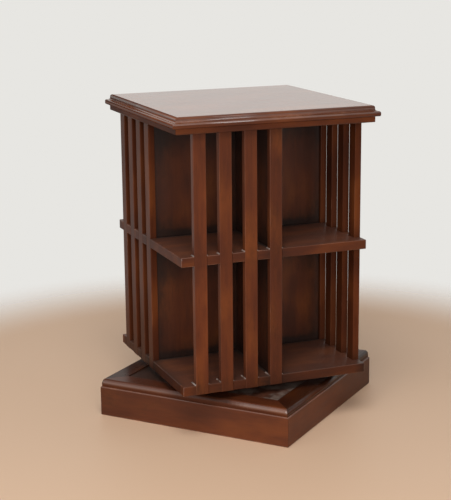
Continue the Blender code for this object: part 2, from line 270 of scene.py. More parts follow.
def mahogany(
    name,
    grain,
    turn=0.0,
    depth=1.0,
    roughness=0.40,
    gloss=0.12,
    coat=0.0,
    coat_roughness=0.15,
    coat_ior=1.5,
    burnish=0.30,
    worn=0.04,
    patchy=0.30,
    dust_and_sheen=0.0,
    mottle=1.0,
):
    """Stained and lacquered mahogany with its grain along one axis of the piece.

    The stain is rubbed back unevenly, so it glows in places and is smoky in others, and it is darker
    in random patches. Painted shade darkens it where a piece is marked with it. Arrises are
    burnished, and pale all along and in patches, partly from wear and partly as a painted highlight.
    A grey on faces that look upwards is partly dust and partly a painted sheen. Depth is how light
    the stain is, gloss the shine of the lacquer and coat that of the polish over it. Burnish is the
    polish on the arrises.
    """
    finish = Finish(bpy.data.materials.new(name))
    stains = (STAIN_SMOKE, STAIN_DEEP, STAIN_RED, STAIN_GLOW)
    smoke, deep, red, glow = ([depth * part for part in stain] for stain in stains)
    place = finish.place()
    stretch = [1.0, 1.0, 1.0]
    stretch[grain] = GRAIN_STRETCH
    along = finish.stretched(place, stretch, turn)
    stretch[grain] = CLOUD_STRETCH
    cloudy = finish.stretched(place, stretch, turn)

    ribbon = finish.noise(along, RIBBON_SCALE, detail=3.0, distortion=0.4)
    streak = finish.noise(along, STREAK_SCALE, detail=3.0, roughness=0.6)
    pore = finish.noise(along, PORE_SCALE)
    cloud = finish.noise(cloudy, CLOUD_SCALE, detail=1.6)
    fleck = finish.noise(cloudy, FLECK_SCALE, detail=3.0, roughness=0.6)
    arris = finish.mark("arris")

    figure = finish.spread(0.45 * ribbon + 0.35 * streak + 0.20 * fleck, *FIGURE_RANGE)
    colour = finish.mix(figure, deep, red)
    glowing = finish.spread(cloud, *GLOW_RANGE)
    colour = finish.mix(mottle * GLOW_MOST * glowing, colour, glow)
    smoky = 1 - finish.spread(cloud, *SMOKE_RANGE)
    colour = finish.mix(mottle * SMOKE_MOST * smoky, colour, smoke)
    colour = finish.mix(PORE_MOST * finish.spread(pore, *PORE_RANGE), colour, smoke)
    # Painted shade where a piece is marked, and random dark glaze
    left = finish.mark("painted_shade") + 0.5 * (fleck - 0.5) + 0.4 * (cloud - 0.5)
    colour = finish.mix(GLAZE_AND_SHADE_MOST * finish.spread(left, *GLAZE_AND_SHADE_RANGE), colour, GLAZE_AND_SHADE)
    facing = finish.node("ShaderNodeNewGeometry", {}, {}, "Normal")
    upward = finish.spread(finish.part(facing, "Z"), *UPWARD_RANGE)
    # Dust and a painted sheen on faces that look upwards
    colour = finish.mix(dust_and_sheen * upward, colour, DUST_AND_SHEEN)
    wear = finish.spread(0.6 * fleck + 0.4 * cloud, *WEAR_RANGE)
    # Pale wear and painted highlights on the arrises
    colour = finish.mix(arris * (worn + patchy * wear), colour, WORN_AND_HIGHLIGHT)

    shader = finish.node(
        "ShaderNodeBsdfPrincipled",
        {},
        {
            "Base Color": colour,
            "Roughness": roughness + STREAK_ROUGHNESS * (streak - 0.5),
            "Specular IOR Level": gloss,
            "Coat Weight": (coat + burnish * arris).at_most(1.0),
            "Coat Roughness": coat_roughness,
            "Coat IOR": coat_ior,
            "Normal": finish.bump(0.7 * streak + 0.3 * pore, GRAIN_DEPTH, GRAIN_STRENGTH),
        },
    )
    return finish.surface(shader)


base_wood_along = mahogany(
    "mahogany_base_along", ALONG, BASE_TURN, gloss=0.15, burnish=0.5, mottle=0.6
)
# The left and right boards' arrises: pale, partly wear and partly a painted highlight
base_wood_across = mahogany(
    "mahogany_base_across",
    ACROSS,
    BASE_TURN,
    gloss=0.3,
    coat_ior=1.6,
    burnish=0.6,
    worn=0.13,
    patchy=0.96,
    mottle=0.6,
)


def side_wood(side, along, across):
    """The wood for a length on one side: front and back run along, right and left across."""
    return along if side in ("front", "back") else across


def side_way(side, turn=0.0):
    """The direction in which a length on one side of a square runs."""
    return Matrix.Rotation(SIDES.index(side) * pi / 2 + turn, 3, "Z") @ Vector((1, 0, 0))


for side in SIDES:
    node = f"plinth_{side}"
    board = cad_shape(node)
    ease(board, arrises(board, way=side_way(side, BASE_TURN)), PLINTH_EASING)
    # Painted shade darkens the boards away from the corner between the front and left boards, which
    # is left clear
    painted_shade = board.verts.layers.float["painted_shade"]
    for vert in board.verts:
        squared = UNTURN @ vert.co
        if max(squared.x, squared.y) > 0:
            vert[painted_shade] = PLINTH_PAINTED_SHADE[side]
    wood = side_wood(side, base_wood_along, base_wood_across)
    fit_piece(node, board, "base", "mahogany", wood)


# Glue blocks and bearers: sawn softwood inside the plinth, left bare. The blocks stiffen the
# corners, and the two bearers run from board to board under the panel and take the bearing's screws.
SAWN_LIGHT = (0.420, 0.260, 0.140)
SAWN_DARK = (0.250, 0.140, 0.068)
SAWN_STRETCH = 12.0
RING_SCALE = 90.0
RING_RANGE = (0.35, 0.65)
FUR_SCALE = 700.0
FUR_DEPTH = 0.0005
SAWN_EASING = 0.0006
SAWN_LENGTH = 0.015

bare = Finish(bpy.data.materials.new("sawn_softwood"))
along = bare.stretched(bare.place(), (1.0, SAWN_STRETCH, 1.0), BASE_TURN)
rings = bare.noise(along, RING_SCALE, detail=4.0, roughness=0.6, distortion=0.8)
fur = bare.noise(along, FUR_SCALE, roughness=0.7)
shader = bare.node(
    "ShaderNodeBsdfPrincipled",
    {},
    {
        "Base Color": bare.mix(bare.spread(rings, *RING_RANGE), SAWN_DARK, SAWN_LIGHT),
        "Roughness": 0.70 + 0.2 * (fur - 0.5),
        "Normal": bare.bump(fur, FUR_DEPTH, 0.5),
    },
)
sawn_wood = bare.surface(shader)

inner_nodes = [f"corner_block_{count}" for count in (1, 2, 3, 4)]
inner_nodes += ["base_bearer_left", "base_bearer_right"]
for node in inner_nodes:
    block = cad_shape(node)
    ease(block, arrises(block, least_length=SAWN_LENGTH), SAWN_EASING, steps=1)
    fit_piece(node, block, "base", "raw_wood", sawn_wood)


# Base rails: a flat mitred frame glued on the plinth, with an ovolo run along its outer top edge that
# leaves a narrow ledge of the plinth bare. The inner edge is chamfered and grooved for the panel.
# At the sides the ovolo's crest is burnished and pale where it stands clear of the case, the pale
# partly wear and partly a painted highlight, and painted shade darkens it where the case covers it.
RAIL_WIDTH = 0.046
RAIL_CHAMFER = 0.002
# Painted shade on the inner chamfer
CHAMFER_PAINTED_SHADE = 0.80
GROOVE_DEPTH = 0.008
GROOVE_HEIGHT = 0.0066
GROOVE_LIFT = 0.00475
GLUE_GAP = 0.0003
MITRE_SETBACK = GLUE_GAP / 2 ** 0.5
ROUND_STEPS = 8
OVOLO_WIDTH = 0.006
OVOLO_HEIGHT = 0.0125
OVOLO_WEAR = 0.8
# Levels of painted shade, and of wear with a painted highlight, by the drop from the ovolo's top
# and by the place along it
PAINTED_SHADE_DOWN = ((0.0, 0.42), (0.003, 0.60), (0.008, 0.30), (0.0125, 0.20))
PAINTED_SHADE_ALONG = ((-0.060, 0.0), (-0.020, 0.25), (0.020, 0.60), (0.090, 0.60), (0.115, 0.0))
PAINTED_SHADE_REACH = 0.009
WEAR_AND_HIGHLIGHT_DOWN = (
    (0.0, 0.0),
    (0.002, 0.05),
    (0.004, 0.40),
    (0.006, 0.90),
    (0.008, 1.0),
    (0.0095, 0.75),
    (0.0125, 0.05),
)
WEAR_AND_HIGHLIGHT_ALONG = (
    (-0.235, 1.25),
    (-0.080, 1.1),
    (-0.040, 0.6),
    (-0.010, 0.3),
    (0.030, 0.15),
    (0.090, 0.15),
    (0.110, 0.8),
    (0.135, 1.8),
    (0.235, 1.7),
)
MARK_STEP = 0.010
MARK_STEPS = 24

# The front and back rails take a much darker copy than the sides: painted shade from the case
rail_wood_along = mahogany(
    "mahogany_rails_along",
    ALONG,
    BASE_TURN,
    depth=0.38,
    roughness=0.30,
    gloss=0.10,
    burnish=0.0,
    worn=0.01,
    patchy=0.06,
)
rail_wood_across = mahogany(
    "mahogany_rails_across",
    ACROSS,
    BASE_TURN,
    depth=0.80,
    roughness=0.30,
    gloss=0.15,
    coat_roughness=0.08,
    coat_ior=2.15,
    burnish=0.58,
    worn=0.19,
    patchy=0.05,
)


def squared_box(node):
    """The lowest and highest corner of a base piece with the base's turn taken off."""
    corners = [UNTURN @ vert.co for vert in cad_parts[node].data.vertices]
    low = Vector(min(corner[axis] for corner in corners) for axis in range(3))
    high = Vector(max(corner[axis] for corner in corners) for axis in range(3))
    return low, high


def mitred_length(section):
    """A length for the front side of a square, its section of (out, height) drawn on the mitre."""
    shape = new_shape()
    corners = [(MITRE_SETBACK - out, -out, height) for out, height in section]
    end = shape.faces.new([shape.verts.new(corner) for corner in corners])
    drawn = bmesh.ops.extrude_face_region(shape, geom=[end])["geom"]
    for vert in [item for item in drawn if isinstance(item, bmesh.types.BMVert)]:
        vert.co.x = -vert.co.x
    bmesh.ops.recalc_face_normals(shape, faces=shape.faces)
    return shape


def edges_at(shape, out, height):
    """The lengthwise edges of a front length at one distance out and one height."""
    found = []
    for edge in shape.edges:
        first, second = (vert.co for vert in edge.verts)
        lengthwise = abs((second - first).normalized().x) > SAME_WAY
        if lengthwise and abs(first.y + out) < WELD and abs(first.z - height) < WELD:
            found.append(edge)
    return found


def turn_to(shape, side, turn=0.0):
    """Swing a front length round to its own side."""
    swing = Matrix.Rotation(SIDES.index(side) * pi / 2 + turn, 3, "Z")
    bmesh.ops.rotate(shape, cent=(0, 0, 0), matrix=swing, verts=shape.verts)


def cut_up(shape, axis, places):
    """Cut a shape across one axis at each place, so that each part can be marked."""
    way = Vector((0, 0, 0))
    way[axis] = 1.0
    for place in places:
        everything = [*shape.verts, *shape.edges, *shape.faces]
        bmesh.ops.bisect_plane(
            shape, geom=everything, dist=WELD, plane_co=place * way, plane_no=way
        )


def level_at(levels, place):
    """The level at a place between those that are given."""
    if place <= levels[0][0]:
        return levels[0][1]
    for (start, first), (end, second) in zip(levels, levels[1:]):
        if place <= end:
            return first + (second - first) * (place - start) / (end - start)
    return levels[-1][1]


rail_low, rail_high = squared_box("base_rail_front")
rail_out = -rail_low.y
rail_in = rail_out - RAIL_WIDTH
groove_low = rail_low.z + GROOVE_LIFT
rail_section = [
    (rail_out, rail_high.z),
    (rail_out, rail_low.z),
    (rail_in, rail_low.z),
    (rail_in, groove_low),
    (rail_in + GROOVE_DEPTH, groove_low),
    (rail_in + GROOVE_DEPTH, groove_low + GROOVE_HEIGHT),
    (rail_in, groove_low + GROOVE_HEIGHT),
    (rail_in, rail_high.z),
]
for side in SIDES:
    node = f"base_rail_{side}"
    rail = mitred_length(rail_section)
    painted_shade = rail.verts.layers.float["painted_shade"]
    chamfer = set(ease(rail, edges_at(rail, rail_in, rail_high.z), RAIL_CHAMFER, wear=0.0))
    # The chamfer is darkened with painted shade
    for vert in {vert for strip in chamfer for vert in strip.verts}:
        if len(chamfer.intersection(vert.link_faces)) > 1:
            vert[painted_shade] = CHAMFER_PAINTED_SHADE
    # The ovolo is taller than it is wide, so it is rounded on a flattened length
    squeeze = OVOLO_WIDTH / OVOLO_HEIGHT
    bmesh.ops.scale(rail, vec=(1, 1, squeeze), verts=rail.verts)
    outer = edges_at(rail, rail_out, rail_high.z * squeeze)
    ovolo = ease(rail, outer, OVOLO_WIDTH, ROUND_STEPS, OVOLO_WEAR)
    bmesh.ops.scale(rail, vec=(1, 1, 1 / squeeze), verts=rail.verts)
    # Painted shade on the front and back ovolos, most on their upper part
    if side in ("front", "back"):
        for vert in {vert for strip in ovolo for vert in strip.verts}:
            vert[painted_shade] = level_at(PAINTED_SHADE_DOWN, rail_high.z - vert.co.z)
    else:
        # Painted shade where the case covers the ovolo, and wear with a painted highlight where it is
        # clear
        cut_up(rail, ALONG, [MARK_STEP * step for step in range(-MARK_STEPS, MARK_STEPS + 1)])
        arris = rail.faces.layers.float["arris"]
        for face in [face for face in rail.faces if face[arris] > 0]:
            for vert in face.verts:
                if rail_high.z - vert.co.z < PAINTED_SHADE_REACH:
                    vert[painted_shade] = level_at(PAINTED_SHADE_ALONG, vert.co.x)
            middle = face.calc_center_bounds()
            wear_and_highlight_down = level_at(WEAR_AND_HIGHLIGHT_DOWN, rail_high.z - middle.z)
            face[arris] = wear_and_highlight_down * level_at(WEAR_AND_HIGHLIGHT_ALONG, middle.x)
    turn_to(rail, side, BASE_TURN)
    wood = side_wood(side, rail_wood_along, rail_wood_across)
    fit_piece(node, rail, "base", "mahogany", wood)


# Base panel: one thin board let into the rails' grooves, just below their top, which carries the
# bearing's lower plate. It has a dark satin stain, and painted shade darkens it towards its left. A
# grey drifted over the front of it, where the case leaves it open, is partly dust and partly a
# painted sheen.
PANEL_BROWN = (0.090, 0.0310, 0.0170)
PANEL_DARK = (0.040, 0.0150, 0.0090)
PANEL_DUST_AND_SHEEN = (0.200, 0.1550, 0.1280)
PANEL_STRETCH = 14.0
PANEL_STREAK_SCALE = 260.0
PANEL_STREAK_DEPTH = 0.0002
DUST_AND_SHEEN_SCALE = 26.0
BROWN_RANGE = (0.34, 0.66)
DUST_AND_SHEEN_RANGE = (0.38, 0.62)
DRIFT_RANGE = (-0.02, -0.20)
SHADE_RANGE = (-0.12, -0.22)
SHADE_MOST = 0.55
DUST_AND_SHEEN_LEAST = 0.05
DRIFT_MORE = 0.65
PANEL_EASING = 0.0005
PANEL_LENGTH = 0.1

thin = Finish(bpy.data.materials.new("dark_stain"))
place = thin.place()
along = thin.stretched(place, (PANEL_STRETCH, 1.0, 1.0), BASE_TURN)
ribbon = thin.noise(along, RIBBON_SCALE, detail=4.0, roughness=0.6, distortion=0.5)
dust_and_sheen = thin.noise(place, DUST_AND_SHEEN_SCALE, detail=4.0, roughness=0.6)
streak = thin.noise(along, PANEL_STREAK_SCALE)
colour = thin.mix(thin.spread(ribbon, *BROWN_RANGE), PANEL_DARK, PANEL_BROWN)
# Painted shade, deepest at the panel's left
shade = thin.spread(thin.part(place, "X"), *SHADE_RANGE)
colour = thin.mix(SHADE_MOST * shade, colour, GLAZE_AND_SHADE)
# Grey drifted to the front: partly dust, partly a painted sheen
drift = thin.spread(thin.part(place, "Y"), *DRIFT_RANGE)
lying = (DUST_AND_SHEEN_LEAST + DRIFT_MORE * drift) * thin.spread(dust_and_sheen, *DUST_AND_SHEEN_RANGE)
colour = thin.mix(lying, colour, PANEL_DUST_AND_SHEEN)
shader = thin.node(
    "ShaderNodeBsdfPrincipled",
    {},
    {
        "Base Color": colour,
        "Roughness": 0.36 + 0.2 * (dust_and_sheen - 0.5),
        "Specular IOR Level": 0.15,
        "Normal": thin.bump(streak, PANEL_STREAK_DEPTH, 0.2),
    },
)
panel_wood = thin.surface(shader)

panel = cad_shape("base_panel")
ease(panel, arrises(panel, least_length=PANEL_LENGTH), PANEL_EASING, steps=2)
fit_piece("base_panel", panel, "base", "panel_wood", panel_wood)


# Turntable bearing: two pressed steel plates, a ring of balls in a cage between them, a rivet through
# the middle and eight countersunk screws, all zinc-plated and dulled by handling.
ZINC_BRIGHT = (0.60, 0.60, 0.58)
ZINC_DULL = (0.42, 0.42, 0.40)
BLOOM_SCALE = 55.0
BLOOM_RANGE = (0.35, 0.65)
SCRATCH_SCALE = 900.0
SCRATCH_DEPTH = 0.0001

plated = Finish(bpy.data.materials.new("zinc_plate"))
place = plated.place()
bloom = plated.noise(place, BLOOM_SCALE, detail=4.0, roughness=0.6)
scratch = plated.noise(place, SCRATCH_SCALE)
shader = plated.node(
    "ShaderNodeBsdfPrincipled",
    {},
    {
        "Base Color": plated.mix(plated.spread(bloom, *BLOOM_RANGE), ZINC_DULL, ZINC_BRIGHT),
        "Roughness": 0.30 + 0.25 * bloom,
        "Metallic": 1.0,
        "Normal": plated.bump(scratch, SCRATCH_DEPTH, 0.2),
    },
)
zinc = plated.surface(shader)

steel_nodes = ["bearing_lower_plate", "bearing_upper_plate", "ball_cage", "pivot_rivet"]
for level in ("lower", "upper"):
    steel_nodes += [f"{level}_plate_screw_{count}" for count in (1, 2, 3, 4)]
for node in steel_nodes:
    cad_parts[node].data.materials.clear()
    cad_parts[node].data.materials.append(zinc)


# Turntable block: a square of the same mahogany under the case, planed and eased all round, which
# spreads the upper plate's screws into the bottom board.
BLOCK_EASING = 0.001
BLOCK_LENGTH = 0.1

wood_along = mahogany("mahogany_along", ALONG, depth=1.1)
# The frieze's left and right lengths take this darker, duller copy: painted shade
wood_across = mahogany("mahogany_across", ACROSS, depth=0.82, gloss=0.02)

block = cad_shape("turntable_block")
ease(block, arrises(block, least_length=BLOCK_LENGTH), BLOCK_EASING)
fit_piece("turntable_block", block, "case", "mahogany", wood_along)


# Bottom board, middle shelf and sub-top: square mahogany boards, notched round their edges so that
# the slats lie flush with them. Their arrises are eased with a sanding block, and painted shade
# darkens them where the partitions stand on them and along their edges, most on the bottom board.
# The corners are worn most, and the edges between the slats are pale, partly wear and partly a
# painted highlight.
BOARD_EDGE = 0.220
BOARD_EASING = 0.0014
BOARD_CORNER = BOARD_EDGE - 3 * BOARD_EASING
BOARD_LENGTH = 0.025
BOARD_WEAR = 1.2
CORNER_WEAR = 3.0
GAP_LENGTH = 0.035
GAP_WEAR_AND_HIGHLIGHT = {"bottom_board": 0.5, "middle_shelf": 4.0, "sub_top": 1.2}
BOARD_PAINTED_SHADE = ((0.0, 1.0), (0.010, 1.0), (0.018, 0.45), (0.040, 0.15), (0.090, 0.0), (0.195, 0.0))
# On the left and right edges, then on the front and back ones
EDGE_PAINTED_SHADE = {"bottom_board": (0.55, 0.42), "middle_shelf": (0.10, 0.10), "sub_top": (0.10, 0.10)}
CORNER_PAINTED_SHADE = 0.05
SIDE_LEAST = 0.2
FRONT_MOST = 0.1

board_wood = mahogany("mahogany_boards", ALONG, depth=0.85, gloss=0.15, dust_and_sheen=0.072)
# The left and right edges take a darker, duller copy of the boards' finish: painted shade
board_side_wood = mahogany(
    "mahogany_board_sides", ALONG, depth=0.76, gloss=0.04, burnish=0.1, worn=0.01
)


def leave_painted_shade(shape, axis, levels):
    """Cut a piece across one axis at each level, and mark how much painted shade darkens it there."""
    cut_up(shape, axis, [level for level, _ in levels])
    painted_shade = shape.verts.layers.float["painted_shade"]
    for vert in shape.verts:
        _, left = min(levels, key=lambda level: abs(level[0] - vert.co[axis]))
        vert[painted_shade] = 1 - (1 - vert[painted_shade]) * (1 - left)


def both_ways(levels):
    """Levels on one side of the middle, and the same on the other."""
    return [(-level, left) for level, left in levels if level > 0] + list(levels)


for node, edge_shade in EDGE_PAINTED_SHADE.items():
    board = cad_shape(node)
    rim = arrises(board, least_length=BOARD_LENGTH)
    for edge in arrises(board, way=Vector((0, 0, 1))):
        corner = edge.verts[0].co
        if min(abs(corner.x), abs(corner.y)) > BOARD_EDGE - WELD:
            rim.append(edge)
    strips = ease(board, rim, BOARD_EASING, wear=BOARD_WEAR)
    arris = board.faces.layers.float["arris"]
    for strip in strips:
        middle = strip.calc_center_bounds()
        if min(abs(middle.x), abs(middle.y)) > BOARD_CORNER:
            strip[arris] = CORNER_WEAR
        # The short edges between the slats: pale wear and a painted highlight
        elif max(edge.calc_length() for edge in strip.edges) < GAP_LENGTH:
            strip[arris] = GAP_WEAR_AND_HIGHLIGHT[node]
    for axis in (ALONG, ACROSS):
        leave_painted_shade(board, axis, both_ways([*BOARD_PAINTED_SHADE, (BOARD_EDGE, edge_shade[axis])]))
    # The painted shade is all but lifted at the two left corners
    painted_shade = board.verts.layers.float["painted_shade"]
    for vert in board.verts:
        if min(-vert.co.x, abs(vert.co.y)) > BOARD_CORNER:
            vert[painted_shade] = CORNER_PAINTED_SHADE
    board.normal_update()
    for face in board.faces:
        sideways = abs(face.normal.x) > SIDE_LEAST and abs(face.normal.y) < FRONT_MOST
        face.material_index = int(sideways)
    fit_piece(node, board, "case", "mahogany", board_wood, board_side_wood)


# Partitions: upright boards that cross in the middle of each level, one long and two short, glued
# between the boards above and below. Painted shade darkens them along their feet, tops and ends,
# where they meet the boards and each other, so their middles are lighter.
PARTITION_EASING = 0.0008
PARTITION_WEAR = 0.3
HALF_THICKNESS = 0.009
FOOT_PAINTED_SHADE = ((0.0, 1.0), (0.009, 0.95), (0.020, 0.45), (0.045, 0.18), (0.090, 0.0))
HEAD_PAINTED_SHADE = ((0.0, 0.90), (0.025, 0.75), (0.060, 0.45), (0.100, 0.12))
LONG_END_PAINTED_SHADE = ((0.0, 0.65), (0.016, 0.50), (0.045, 0.25), (0.085, 0.0))
SHORT_END_PAINTED_SHADE = ((0.0, 0.70), (0.030, 0.60), (0.090, 0.45))

short_wood = mahogany("mahogany_short_partitions", UPRIGHT, depth=1.02, gloss=0.15)
long_wood = mahogany("mahogany_long_partitions", UPRIGHT, depth=0.93, gloss=0.28, mottle=1.3)

for level in ("lower", "upper"):
    for part in ("long", "front", "back"):
        node = f"partition_{level}_{part}"
        low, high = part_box(node)
        board = cad_shape(node)
        ease(board, arrises(board), PARTITION_EASING, steps=2, wear=PARTITION_WEAR)
        heights = [(low.z + rise, left) for rise, left in FOOT_PAINTED_SHADE]
        heights += [(high.z - drop, left) for drop, left in HEAD_PAINTED_SHADE]
        leave_painted_shade(board, UPRIGHT, heights)
        axis, end_shade = (ALONG, LONG_END_PAINTED_SHADE) if part == "long" else (ACROSS, SHORT_END_PAINTED_SHADE)
        ends = [(low[axis] + reach, left) for reach, left in end_shade]
        ends += [(high[axis] - reach, left) for reach, left in end_shade]
        if part == "long":
            # The short ones meet it in the middle, so painted shade darkens it there too
            ends += both_ways([(HALF_THICKNESS + reach, left) for reach, left in end_shade])
        leave_painted_shade(board, axis, ends)
        wood = long_wood if part == "long" else short_wood
        fit_piece(node, board, "case", "mahogany", wood)


# Slats: sixteen straight strips, four on the left-hand half of every face, let into the boards'
# notches from the bottom board to the sub-top. Their long arrises are eased, and painted shade
# darkens them at their ends, where they pass the middle shelf, and by its own amount on each slat.
# Small beads of lacquer have dried beside the front and back ones, their milky pale partly a painted
# highlight.
SLAT_EASING = 0.0012
FINE_EASING = 0.0006
FINELY_EASED = ("slat_right_3", "slat_right_4")
SLAT_PAINTED_SHADE = {
    "front": (0.44, 0.31, 0.30, 0.0),
    "right": (0.10, 0.20, 0.15, 0.0),
    "back": (0.44, 0.31, 0.30, 0.0),
    "left": (0.10, 0.33, 0.15, 0.35),
}
SHELF_PAINTED_SHADE = ((0.0, 0.32), (0.012, 0.36), (0.022, 0.22), (0.040, 0.0))
LOW_END_PAINTED_SHADE = ((0.0, 0.55), (0.020, 0.50), (0.035, 0.40), (0.060, 0.25), (0.090, 0.0))
HIGH_END_PAINTED_SHADE = ((0.0, 0.40), (0.018, 0.35), (0.035, 0.15), (0.070, 0.0))
LACQUER_SIDES = ("front", "back")
LACQUER_SIZE = 0.0022
LACQUER_REACH = {"bottom_board": 0.012, "middle_shelf": 0.002}
LACQUER_CLEAR = (0.070, 0.0260, 0.0140)
LACQUER_MILKY_AND_HIGHLIGHT = (0.300, 0.2250, 0.1950)
MILKY_SCALE = 60.0
MILKY_RANGE = (0.32, 0.55)
RIPPLE_SCALE = 400.0
RIPPLE_DEPTH = 0.0003

slat_wood = mahogany("mahogany_slats", UPRIGHT, depth=1.22, gloss=0.12, burnish=0.12)
# The left and right slats take a darker, duller copy: painted shade
side_slat_wood = mahogany("mahogany_side_slats", UPRIGHT, depth=0.83, gloss=0.055, burnish=0.12)

# Dried lacquer, its milky pale partly a painted highlight
dried = Finish(bpy.data.materials.new("dried_lacquer"))
place = dried.place()
milky_and_highlight = dried.spread(dried.noise(place, MILKY_SCALE), *MILKY_RANGE)
ripple = dried.noise(place, RIPPLE_SCALE)
shader = dried.node(
    "ShaderNodeBsdfPrincipled",
    {},
    {
        "Base Color": dried.mix(milky_and_highlight, LACQUER_CLEAR, LACQUER_MILKY_AND_HIGHLIGHT),
        "Roughness": 0.25 + 0.1 * (ripple - 0.5),
        "Normal": dried.bump(ripple, RIPPLE_DEPTH, 0.3),
    },
)
lacquer = dried.surface(shader)

shelf_low, shelf_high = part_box("middle_shelf")
shelf_middle = (shelf_low.z + shelf_high.z) / 2


def add_bead(shape, corner, run, out):
    """Add a three-sided bead that fills the angle between a slat's side and the board below it."""
    points = (corner, corner + LACQUER_SIZE * out, corner + Vector((0, 0, LACQUER_SIZE)))
    near = [shape.verts.new(point) for point in points]
    far = [shape.verts.new(point + run) for point in points]
    faces = [shape.faces.new(near), shape.faces.new(far[::-1])]
    for first, second in ((0, 1), (1, 2), (2, 0)):
        faces.append(shape.faces.new((near[second], near[first], far[first], far[second])))
    bmesh.ops.recalc_face_normals(shape, faces=faces)
    for face in faces:
        face.material_index = 1


for side in SIDES:
    along = side_way(side)
    inward = Vector((-along.y, along.x, 0))
    for count, darker in enumerate(SLAT_PAINTED_SHADE[side], start=1):
        node = f"slat_{side}_{count}"
        low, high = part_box(node)
        slat = cad_shape(node)
        easing = FINE_EASING if node in FINELY_EASED else SLAT_EASING
        ease(slat, arrises(slat, way=Vector((0, 0, 1))), easing)
        # Painted shade at the slat's ends and at the middle shelf, never less than its own amount
        heights = [(low.z + rise, left) for rise, left in LOW_END_PAINTED_SHADE]
        heights += [(high.z - drop, left) for drop, left in HIGH_END_PAINTED_SHADE]
        heights += [(shelf_middle + reach, left) for reach, left in both_ways(SHELF_PAINTED_SHADE)]
        leave_painted_shade(slat, UPRIGHT, [(height, max(darker, left)) for height, left in heights])
        finishes = [side_wood(side, slat_wood, side_slat_wood)]
        if side in LACQUER_SIDES:
            finishes.append(lacquer)
            middle = (low + high) / 2
            half_width = abs((high - low).dot(along)) / 2
            half_thick = abs((high - low).dot(inward)) / 2
            for board, reach in LACQUER_REACH.items():
                run = (2 * half_thick - easing + reach) * inward
                for way in (-1, 1):
                    foot = middle + half_width * way * along - (half_thick - easing) * inward
                    foot.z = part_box(board)[1].z
                    add_bead(slat, foot, run, way * along)
        fit_piece(node, slat, "case", "mahogany", *finishes)


# Frieze: a mitred strip round the case under the top, glued over the slats' upper ends. It is square
# in section, with its two outer arrises eased, and painted shade darkens its lower edge.
FRIEZE_EASING = 0.0010
FRIEZE_PAINTED_SHADE = ((0.0, 0.40), (0.005, 0.20), (0.010, 0.0))

frieze_low, frieze_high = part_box("frieze_front")
frieze_out = -frieze_low.y
frieze_in = -frieze_high.y
frieze_section = [
    (frieze_out, frieze_high.z),
    (frieze_out, frieze_low.z),
    (frieze_in, frieze_low.z),
    (frieze_in, frieze_high.z),
]
for side in SIDES:
    node = f"frieze_{side}"
    strip = mitred_length(frieze_section)
    for height in (frieze_low.z, frieze_high.z):
        ease(strip, edges_at(strip, frieze_out, height), FRIEZE_EASING)
    leave_painted_shade(strip, UPRIGHT, [(frieze_low.z + rise, left) for rise, left in FRIEZE_PAINTED_SHADE])
    turn_to(strip, side)
    wood = side_wood(side, wood_along, wood_across)
    fit_piece(node, strip, "case", "mahogany", wood)


# Top board: one wide board with a moulded edge run all round it, a rounded lip over a cove and a full
# bead below. It is rubbed down and lacquered to a higher gloss than the rest of the case, and its
# moulding is burnished in bands that are pale, partly wear and partly painted highlights. Painted
# shade darkens the lip, cove and bead, most on the left and right sides.
BEAD_HEIGHT = 0.0115
LIP_SETBACK = 0.0098
LIP_ROUND = 0.0050
COVE_RADIUS = 0.0048
BEAD_ROUND = 0.0042
BEAD_UNDER_ROUND = 0.0030
LOOKS_UP = 0.9
# Wear with painted highlights, and painted shade; where two are given, on the front and back, then
# on the left and right
LIP_WEAR_AND_HIGHLIGHT = 0.6
LIP_ROUND_WEAR_AND_HIGHLIGHT = (0.15, 1.2)
COVE_HEAD_WEAR_AND_HIGHLIGHT = (0.5, 0.0)
COVE_FOOT_WEAR_AND_HIGHLIGHT = 4.5
LEDGE_WEAR_AND_HIGHLIGHT = (2.0, 2.5)
BEAD_ROUND_WEAR_AND_HIGHLIGHT = (0.7, 2.0)
BEAD_FACE_WEAR_AND_HIGHLIGHT = (0.0, 0.33)
BEAD_UNDER_WEAR = 0.1
LIP_PAINTED_SHADE = (0.35, 0.80)
COVE_PAINTED_SHADE = (0.0, 0.90)
BEAD_PAINTED_SHADE = 0.30

# The top's stain is made far lighter than the rest: painted sheen of the pale room it reflects
polished_wood = mahogany(
    "mahogany_polished",
    ALONG,
    depth=1.9,
    roughness=0.26,
    gloss=0.5,
    coat=0.66,
    coat_roughness=0.08,
    mottle=0.5,
)
edge_wood_along = mahogany(
    "mahogany_edge_along", ALONG, roughness=0.30, gloss=0.15, coat_ior=1.9, burnish=1.0
)
edge_wood_across = mahogany(
    "mahogany_edge_across",
    ACROSS,
    roughness=0.30,
    gloss=0.0,
    coat_ior=2.5,
    burnish=0.7,
    worn=0.08,
    patchy=0.06,
)

top_low, top_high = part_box("top_board")
bead_half = top_high.x
lip_half = bead_half - LIP_SETBACK
bead_top = top_low.z + BEAD_HEIGHT

top = new_shape()
bmesh.ops.create_cube(top, size=1.0)
bmesh.ops.scale(top, vec=(2 * bead_half, 2 * bead_half, BEAD_HEIGHT), verts=top.verts)
bmesh.ops.translate(top, vec=(0, 0, top_low.z + BEAD_HEIGHT / 2), verts=top.verts)
upper = [face for face in top.faces if face.normal.z > LOOKS_UP]
bmesh.ops.inset_individual(top, faces=upper, thickness=LIP_SETBACK, use_even_offset=True)
raised = bmesh.ops.extrude_discrete_faces(top, faces=upper)["faces"]
bmesh.ops.translate(top, vec=(0, 0, top_high.z - bead_top), verts=raised[0].verts)


def distance_out(place):
    """How far a place is from the middle, squarely."""
    return max(abs(place.x), abs(place.y))


